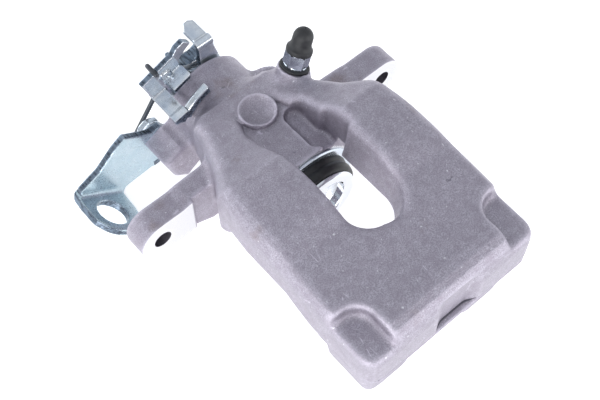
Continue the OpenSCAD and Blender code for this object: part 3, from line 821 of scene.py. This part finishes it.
def bracket_bent(x, y, z):
    """True on the bracket's flange and bend."""
    return (y < WEB_Y - 0.3) | (off_bend(x, z)[1] < 1.5)


def lever_bent(x, y, z):
    """True on the lever's tongue and channel."""
    return ((z > 22.8) & (x > 0) & (y > Y_LEVER + 0.5)) | (y < Y_LEVER - 0.3)


# ---- fasteners, rubber, springs ----

def across(points, at, direction):
    """Points drawn round Z, turned so that Z lies along a direction from a place."""
    d = np.asarray(direction, dtype=float) / np.linalg.norm(direction)
    swing, lean = math.atan2(d[1], d[0]), math.acos(d[2])
    turned = np.array(Matrix.Rotation(swing, 3, "Z") @ Matrix.Rotation(lean, 3, "Y"))
    return np.asarray(at) + points @ turned.T


def hexagon(x, y, half):
    """Distance to a hexagon with flats at half from the middle, and corners on the X axis."""
    u, v = np.abs(x), np.abs(y)
    return np.maximum(u * math.cos(math.pi / 6) + v * 0.5, v) - half


def hex_head(x, y, z, half, low, high):
    """A hexagon with both ends chamfered by a cone of 30 degrees."""
    r = np.hypot(x, y)
    cone = np.maximum(z - high, low - z) + (r - half) * 0.5
    return common(common(hexagon(x, y, half), between(z, low, high), 0.25), cone * 0.9)


def local_piece(name, field, low, high, step, at, direction, material, smooth_angle=30):
    """A fastener worked out round Z and then laid along its own axis."""
    points, quads = contour(field, np.array(low), np.array(high), step)
    piece = new_piece(name, across(points, at, direction), quads, smooth_angle)
    piece.data.materials.append(material)
    return piece


def bleed_screw(x, y, z):
    """Bleed screw: cone tip, ridged shank for the thread, hexagon and barbed nipple, drilled through."""
    r = np.hypot(x, y)
    phase = (z + np.arctan2(y, x) / (2 * np.pi)) % 1.0
    thread = 0.18 * (1 - np.abs(phase * 2 - 1)) * (z < -0.2)
    shank = common(r - 3.95 + thread, between(z, -11, 1.5))
    tip = outline(r, z, [(0, -14), (1.6, -14), (3.9, -11), (0, -10.9)])
    head = hex_head(x, y, z, 5, 1.5, 8)
    collar = common(r - 5.3, between(z, 1.2, 2.2), 0.3)
    nipple = outline(r, z, [(0, 7), (2.9, 7), (2.9, 14), (3.4, 14), (2.6, 16.5), (0, 16.5)])
    body = union(union(shank, tip), union(union(head, collar), nipple, 0.4))
    return cut(body, common(r - 0.9, -8 - z))


def cap_ring(x, y, z):
    """Cap's tether: a flat ring under the hexagon and a strap up to the cap's skirt."""
    r = np.hypot(x, y)
    ring = common(common(r - 6.8, 4.05 - r), between(z, 0.1, 1.4), 0.7)
    strap = common(np.abs(r - 6.65) - 0.45, np.abs(y) - 1.25, 0.4)
    return union(ring, common(strap, common(between(z, 0.1, 10.6), -x), 0.4), 0.8)


def bolt_head(x, y, z):
    """Flanged hexagon head with a dished top and a shank below it."""
    r = np.hypot(x, y)
    flange = common(r - 5.9, between(z, 0, 1.2), 0.6)
    head = hex_head(x, y, z, 5, 0.4, 4.6)
    dish = np.sqrt(r * r + (z - 6.6) ** 2) - 3.6
    shank = common(r - 2.95, between(z, -14, 0.5), 0.6)
    return union(union(cut(head, dish, 0.3), flange, 0.5), shank)


def nut_shape(x, y, z):
    """Hexagon nut chamfered at both ends, with its bore's mouth countersunk."""
    r, height = np.hypot(x, y), 6.5
    mouth = np.maximum(r - 5.9 + np.abs(np.minimum(z, height - z)), -1)
    return cut(cut(hex_head(x, y, z, 8, 0, height), r - 5.05), mouth)


def coil_path(radius, turns, pitch, start, steps=48):
    """Helix in X, Z and Y: round the piston axis anticlockwise seen from the fingers, rising along Y."""
    t = np.linspace(0, turns, int(turns * steps) + 1)
    a = np.radians(start) + 2 * np.pi * t
    return np.stack([radius * np.cos(a), pitch * t, radius * np.sin(a)], axis=1)


def coil_in_box(node, radius, turns, wire):
    """A coil as long as a node's box along Y; wire is the radius of its wire."""
    low, high = node_box(node)
    pitch = (high[1] - low[1] - 2 * wire) / turns
    return coil_path(radius, turns, pitch, 0) + np.array([0, low[1] + wire, AXIS_Z])


RETURN_WIRE = 1.1                          # radius of the return spring's wire


def return_spring_path():
    """Leg in the lever's notch, bent tip outboard, coil, and the leg on the bracket's hook."""
    radius, turns, pitch, start = 12.5, 2.85, 2.3, 196.6
    leg_length, tip_bend = 37.1, 1.6
    base = np.array([0, node_box("lever_return_spring")[1][1] - RETURN_WIRE - turns * pitch, AXIS_Z])
    coil = coil_path(radius, turns, pitch, start)
    a, b = math.radians(start), math.radians(start + 360 * turns)
    lead = np.array([math.sin(a), 0, -math.cos(a)])
    trail = np.array([-math.sin(b), 0, math.cos(b)])
    bent = coil[0] + leg_length * lead
    turn = np.radians(np.linspace(0, 90, 7))[:, None]
    rounded = np.cos(turn) * lead + np.sin(turn) * np.array([0, 1, 0])
    corner = bent - tip_bend * lead - np.array([0, tip_bend, 0]) + tip_bend * rounded
    tip = [bent + np.array([0, y, 0]) for y in (-7.4, -5, -3)]
    leg = [coil[0] + f * (bent - tip_bend * lead - coil[0]) for f in np.linspace(0.95, 0.04, 16)]
    foot = [coil[-1] + t * trail for t in np.linspace(1.5, 42, 16)]
    return base + np.concatenate([tip, corner, leg, coil, foot])


def build_spring(name, path, radius, node, material):
    """A spring's wire along its path, in place of the plain one."""
    piece = swept(name, path, radius)
    piece.data.materials.append(material)
    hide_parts(node)
    return piece


# ---- settings that a user would change ----

class CaliperSizes(bpy.types.PropertyGroup):
    """Fineness of the worked-out surfaces."""
    casting_step: bpy.props.FloatProperty(
        name="Casting grid", description="Grid step of the casting's surface, in millimetres",
        default=1.0, min=0.8, max=3.0)
    sheet_step: bpy.props.FloatProperty(
        name="Sheet grid", description="Grid step of the lever and the bracket, in millimetres",
        default=0.4, min=0.3, max=1.5)
    fastener_step: bpy.props.FloatProperty(
        name="Fastener grid", description="Grid step of screws and nuts, in millimetres",
        default=0.32, min=0.2, max=1.0)


class CaliperColours(bpy.types.PropertyGroup):
    """Colours of the finishes."""
    casting: bpy.props.FloatVectorProperty(
        name="Casting", description="Colour of the blasted casting", subtype="COLOR",
        default=linear(172, 166, 178), min=0, max=1)
    bracket: bpy.props.FloatVectorProperty(
        name="Bracket", description="Colour of the bracket's zinc plating", subtype="COLOR",
        default=linear(196, 212, 220), min=0, max=1)
    lever: bpy.props.FloatVectorProperty(
        name="Lever", description="Colour of the lever's bright plating", subtype="COLOR",
        default=linear(222, 226, 230), min=0, max=1)
    floor: bpy.props.FloatVectorProperty(
        name="Floor", description="Colour of the floor", subtype="COLOR",
        default=(0.9, 0.9, 0.9), min=0, max=1)


MATERIALS = {}


def finish_named(name):
    """A shared finish, made the first time it is asked for."""
    colours = bpy.context.scene.caliper_colours
    makers = {
        "zinc sheet": lambda: metal("Zinc sheet", tuple(colours.bracket), 0.85, 0.3, fine=900.0, coarse=120.0,
                                    speckle=0.06, mottle=0.35, grain=0.15, depth=0.00006,
                                    tint=linear(160, 190, 202), scratches=0.5, edges=0.3),
        "bright sheet": lambda: metal("Bright sheet", tuple(colours.lever), 0.85, 0.18, fine=500.0,
                                      coarse=110.0, speckle=0.05, mottle=0.55, grain=0.12, depth=0.00007,
                                      tint=linear(168, 184, 204), scratches=0.4, edges=0.35),
        "cut edge": lambda: metal("Cut edge", linear(112, 124, 138), 0.9, 0.3, fine=700.0, coarse=260.0,
                                  stretch=(1.0, 0.25, 1.0), speckle=0.5, mottle=0.5, grain=0.5, depth=0.00012,
                                  tint=linear(70, 78, 92), scratches=0.3, edges=0.9),
        "zinc fastener": lambda: metal("Zinc fastener", linear(208, 216, 226), 0.95, 0.2, fine=900.0,
                                       speckle=0.04, mottle=0.2, grain=0.04, depth=0.00003, edges=0.1),
        "steel": lambda: metal("Ground steel", linear(172, 172, 176), 0.95, 0.3, fine=1800.0, speckle=0.1,
                               grain=0.15, depth=0.00004),
        "spring steel": lambda: metal("Spring steel", linear(96, 98, 104), 0.9, 0.34, fine=1600.0,
                                      speckle=0.15, grain=0.15, depth=0.00004),
        "chrome": lambda: metal("Chrome", linear(226, 228, 232), 1.0, 0.09, fine=2200.0, coarse=160.0,
                                speckle=0.03, mottle=0.06, grain=0.05, depth=0.00002, scratches=0.2),
        "bronze": lambda: metal("Bronze", linear(196, 158, 96), 0.9, 0.35, fine=1500.0, speckle=0.12,
                                grain=0.2, depth=0.00005),
        "rubber": lambda: rubber("Moulded rubber"),
        "boot rubber": lambda: rubber("Boot rubber", (0.012, 0.012, 0.013), 0.42),
    }
    if name not in MATERIALS:
        MATERIALS[name] = makers[name]()
    return MATERIALS[name]


PLAIN_NODES = {
    "piston_seal": "rubber", "boot_ring": "zinc fastener", "lever_shaft": "steel", "shaft_bush": "bronze",
    "shaft_seal": "rubber", "thrust_bearing": "steel", "ramp_balls": "chrome", "push_rod": "steel",
    "spring_cage": "steel", "cage_circlip": "spring steel", "adjuster_nut": "bronze", "nut_bearing": "steel",
    "piston_circlip": "spring steel", "lever_washer": "zinc fastener",
}


# ---- operators ----

class CALIPER_OT_casting(bpy.types.Operator):
    """Make the casting, with its machined faces and bores"""
    bl_idname = "caliper.casting"
    bl_label = "Casting"

    def execute(self, context):
        piece = build_casting(context.scene.caliper_sizes.casting_step)
        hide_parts("caliper_body")
        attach(piece, "housing")
        return {"FINISHED"}


class CALIPER_OT_sheet_parts(bpy.types.Operator):
    """Make the cable bracket and the parking lever"""
    bl_idname = "caliper.sheet_parts"
    bl_label = "Bracket and lever"

    def execute(self, context):
        step = context.scene.caliper_sizes.sheet_step
        cut_edge = finish_named("cut edge")
        flange = np.array([BEND_A[1] - BEND_B[1], 0, BEND_B[0] - BEND_A[0]])
        finishes = (finish_named("zinc sheet"), cut_edge)
        piece = build_sheet("bracket_sheet", bracket, "cable_bracket", finishes, step,
                            bracket_bent, flange / np.linalg.norm(flange))
        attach(piece, "housing")
        finishes = (finish_named("bright sheet"), cut_edge)
        piece = build_sheet("lever_sheet", lever, "parking_lever", finishes, step, lever_bent, (0, 0, 1))
        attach(piece, "lever")
        return {"FINISHED"}


class CALIPER_OT_fasteners(bpy.types.Operator):
    """Make the bleed screw, the bracket's bolts and the lever's nut"""
    bl_idname = "caliper.fasteners"
    bl_label = "Screws and nut"

    def execute(self, context):
        step = context.scene.caliper_sizes.fastener_step
        zinc = finish_named("zinc fastener")
        screw = local_piece("bleeder", bleed_screw, (-6, -6, -14.4), (6, 6, 17), step,
                            BLEED_AT, BLEED_DIR, zinc)
        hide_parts("bleed_screw")
        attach(screw, "bleeder")
        for number, (x, z) in enumerate(BOLTS):
            bolt = local_piece(f"bracket_bolt_{number}", bolt_head, (-6.2, -6.2, -14.3), (6.2, 6.2, 4.9),
                               step, (x, WEB_Y + 3.5, z), (0, 1, 0), zinc)
            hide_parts("bracket_bolts")
            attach(bolt, "housing")
        low = node_box("lever_nut")[0]
        nut = local_piece("shaft_nut", nut_shape, (-9.5, -9.5, -0.3), (9.5, 9.5, 6.8), 0.4,
                          (0, low[1], AXIS_Z), (0, 1, 0), zinc)
        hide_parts("lever_nut")
        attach(nut, "lever")
        return {"FINISHED"}


class CALIPER_OT_rubber(bpy.types.Operator):
    """Make the dust cap, its tether and the piston's boot"""
    bl_idname = "caliper.rubber"
    bl_label = "Rubber parts"

    def execute(self, context):
        dome = arc(0, 15.7, 4.5, 0, 86, 10)
        profile = [(3.45, 8.2), (5.9, 8.2), (5.9, 10.2), (5.3, 10.8), (5.0, 11.4), (4.55, 12.6)] + dome + [
            (0.3, 16.7), (3.45, 16.7)]
        cap = revolved("dust_cap", profile, BLEED_AT, BLEED_DIR, 0.35)
        cap.data.materials.append(finish_named("rubber"))
        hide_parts("bleed_cap")
        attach(cap, "dust_cap")
        tether = local_piece("cap_ring", cap_ring, (-7.2, -7.2, -0.2), (7.2, 7.2, 10.9), 0.3, BLEED_AT,
                             BLEED_DIR, finish_named("rubber"))
        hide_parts("cap_tether")
        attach(tether, "bleeder")
        fold = [(17.3, -28.1), (19.4, -28.1), (20.6, -27.2), (21.2, -25), (20.4, -23.4), (21.4, -21.8),
                (21.2, -20), (22.9, -19.9), (22.9, -16.1), (19.6, -16.1), (19.6, -17.2), (21.4, -17.6),
                (21.4, -18.6), (20, -19.4), (20.2, -21.8), (19.4, -23.4), (20, -25), (19.6, -26.3),
                (17.3, -26.3)]
        boot = revolved("piston_bellows", fold, (0, 0, AXIS_Z), (0, 1, 0), 0.6)
        boot.data.materials.append(finish_named("boot rubber"))
        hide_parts("piston_boot")
        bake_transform(boot)
        return {"FINISHED"}


class CALIPER_OT_piston(bpy.types.Operator):
    """Make the piston with its rim, boot groove and hollow end"""
    bl_idname = "caliper.piston"
    bl_label = "Piston"

    def execute(self, context):
        profile = [(0.2, -25), (13.5, -25), (13.5, -29), (14.5, Y_FACE), (18.2, Y_FACE), (19, -29.2),
                   (19, -28.2), (17.2, -28.2), (17.2, -26.2), (19, -26.2), (19, 9), (18, 10), (14, 10),
                   (14, 7.7), (15, 7.7), (15, 6.5), (14, 6.5), (14, -20), (0.2, -20)]
        piston = revolved("piston_cup", profile, (0, 0, AXIS_Z), (0, 1, 0), 0.35, 160)
        piston.data.materials.append(finish_named("chrome"))
        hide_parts("piston")
        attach(piston, "brake_piston")
        return {"FINISHED"}


class CALIPER_OT_springs(bpy.types.Operator):
    """Make the three coil springs"""
    bl_idname = "caliper.springs"
    bl_label = "Springs"

    def execute(self, context):
        wire = finish_named("spring steel")
        spring = build_spring("return_wire", return_spring_path(), RETURN_WIRE, "lever_return_spring", wire)
        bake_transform(spring)
        path = coil_in_box("mechanism_spring", 9.5, 2.25, 0.8)
        inner = build_spring("thrust_wire", path, 0.8, "mechanism_spring", wire)
        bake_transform(inner)
        path = coil_in_box("nut_spring", 11.9, 1.75, 0.65)
        last = build_spring("nut_wire", path, 0.65, "nut_spring", wire)
        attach(last, "brake_piston")
        return {"FINISHED"}


class CALIPER_OT_plain_nodes(bpy.types.Operator):
    """Give the finishes to the pieces whose shape is already right"""
    bl_idname = "caliper.plain_nodes"
    bl_label = "Finishes of the inner parts"

    def execute(self, context):
        for node, finish in PLAIN_NODES.items():
            mesh = frame["nodes"][node].data
            mesh.materials.clear()
            mesh.materials.append(finish_named(finish))
        return {"FINISHED"}


def softbox(name, at, target, size, power, colour=(1, 1, 1)):
    """A square area light at a place, turned to a target."""
    light = bpy.data.lights.new(name, "AREA")
    light.shape = "RECTANGLE"
    light.size, light.size_y = size
    light.energy = power
    light.color = colour
    item = bpy.data.objects.new(name, light)
    item.location = at
    item.rotation_euler = (Vector(at) - Vector(target)).to_track_quat("Z", "Y").to_euler()
    bpy.context.scene.collection.objects.link(item)


def studio_world():
    """World of a white studio: bright to the sides and below, greyer overhead."""
    world = bpy.data.worlds.new("Studio")
    world.use_nodes = True
    tree = world.node_tree
    direction = tree.nodes.new("ShaderNodeTexCoord").outputs["Generated"]
    parts = tree.nodes.new("ShaderNodeSeparateXYZ")
    tree.links.new(direction, parts.inputs["Vector"])
    shade = ramp(tree, maths(tree, "MULTIPLY_ADD", parts.outputs["Z"], 0.5, 0.5),
                 [(0.0, (0.72, 0.77, 0.82)), (0.55, (0.72, 0.78, 0.84)), (0.66, (0.58, 0.6, 0.62)),
                  (0.78, (0.36, 0.37, 0.38)), (0.92, (0.56, 0.6, 0.66)), (1.0, (0.5, 0.52, 0.55))])
    tree.links.new(shade, tree.nodes["Background"].inputs["Color"])
    tree.nodes["Background"].inputs["Strength"].default_value = 1.25
    bpy.context.scene.world = world


class CALIPER_OT_stage(bpy.types.Operator):
    """Make the floor, the soft lights and the camera"""
    bl_idname = "caliper.stage"
    bl_label = "Stage"

    def execute(self, context):
        scene = context.scene
        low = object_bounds()[0]
        side = 6.0
        corners = np.array([(-side, -side), (side, -side), (side, side), (-side, side)]) * 1000
        height = (low[2] - 0.0005) * 1000
        floor = new_piece("floor", np.column_stack([corners, np.full(4, height)]), np.array([[0, 1, 2, 3]]))
        material, tree, shader = new_material("Floor paper", 0.0, 0.9)
        place = tree.nodes.new("ShaderNodeTexCoord").outputs["Object"]
        colour = tuple(scene.caliper_colours.floor)
        tree.links.new(mixed(tree, noise(tree, place, 3.0), colour, tuple(c * 0.985 for c in colour)),
                       shader.inputs["Base Color"])
        shader.inputs["Emission Color"].default_value = (1, 1, 1, 1)
        shader.inputs["Emission Strength"].default_value = 0.62
        floor.data.materials.append(material)
        floor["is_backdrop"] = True
        studio_world()
        softbox("left_box", (-0.75, -0.35, 0.25), (0, -0.03, 0), (0.7, 0.5), 4.0)
        softbox("front_box", (0.25, -0.9, 0.25), (0, -0.03, 0), (0.8, 0.4), 3.0)
        softbox("back_box", (-0.35, 0.75, 0.35), (0, 0, 0), (0.5, 0.4), 1.5, (0.92, 0.96, 1.0))
        scene.view_settings.view_transform = "Standard"
        scene.view_settings.look = "None"
        target, distance = Vector((-0.006171, -0.022721, -0.001154)), 0.495475
        turn, tilt, roll = math.radians(-40.53), math.radians(60.54), math.radians(-0.45)
        back = Vector((math.sin(turn) * math.cos(tilt), -math.cos(turn) * math.cos(tilt), math.sin(tilt)))
        right = Vector((math.cos(turn), math.sin(turn), 0))
        up = back.cross(right)
        data = bpy.data.cameras.new("camera")
        data.lens = 69.77
        data.sensor_width = 36
        data.clip_start = 0.01
        camera = bpy.data.objects.new("camera", data)
        scene.collection.objects.link(camera)
        level, upright = math.cos(roll), math.sin(roll)
        axes = Matrix((right * level + up * upright, up * level - right * upright, back)).transposed()
        camera.matrix_world = Matrix.Translation(target + back * distance) @ axes.to_4x4()
        scene.camera = camera
        return {"FINISHED"}


class CALIPER_PT_panel(bpy.types.Panel):
    """Sizes, colours and steps of the brake caliper."""
    bl_idname = "CALIPER_PT_panel"
    bl_label = "Brake caliper"
    bl_space_type = "VIEW_3D"
    bl_region_type = "UI"
    bl_category = "Caliper"

    def draw(self, context):
        for group in (context.scene.caliper_sizes, context.scene.caliper_colours):
            for name in group.__annotations__:
                self.layout.prop(group, name)
        for operator in OPERATORS:
            self.layout.operator(operator.bl_idname)


OPERATORS = (CALIPER_OT_casting, CALIPER_OT_sheet_parts, CALIPER_OT_fasteners, CALIPER_OT_rubber,
             CALIPER_OT_piston, CALIPER_OT_springs, CALIPER_OT_plain_nodes, CALIPER_OT_stage)
CLASSES = (CaliperSizes, CaliperColours, *OPERATORS, CALIPER_PT_panel)


def register():
    """Registers the classes and hangs the settings on the scene."""
    for cls in CLASSES:
        bpy.utils.register_class(cls)
    bpy.types.Scene.caliper_sizes = bpy.props.PointerProperty(type=CaliperSizes)
    bpy.types.Scene.caliper_colours = bpy.props.PointerProperty(type=CaliperColours)


def unregister():
    """Takes the settings and the classes away again."""
    del bpy.types.Scene.caliper_colours
    del bpy.types.Scene.caliper_sizes
    for cls in reversed(CLASSES):
        bpy.utils.unregister_class(cls)


def main():
    """Makes the pieces in order."""
    register()
    bpy.ops.caliper.casting()
    bpy.ops.caliper.sheet_parts()
    bpy.ops.caliper.fasteners()
    bpy.ops.caliper.rubber()
    bpy.ops.caliper.piston()
    bpy.ops.caliper.springs()
    bpy.ops.caliper.plain_nodes()
    bpy.ops.caliper.stage()


if __name__ == "__main__":
    main()
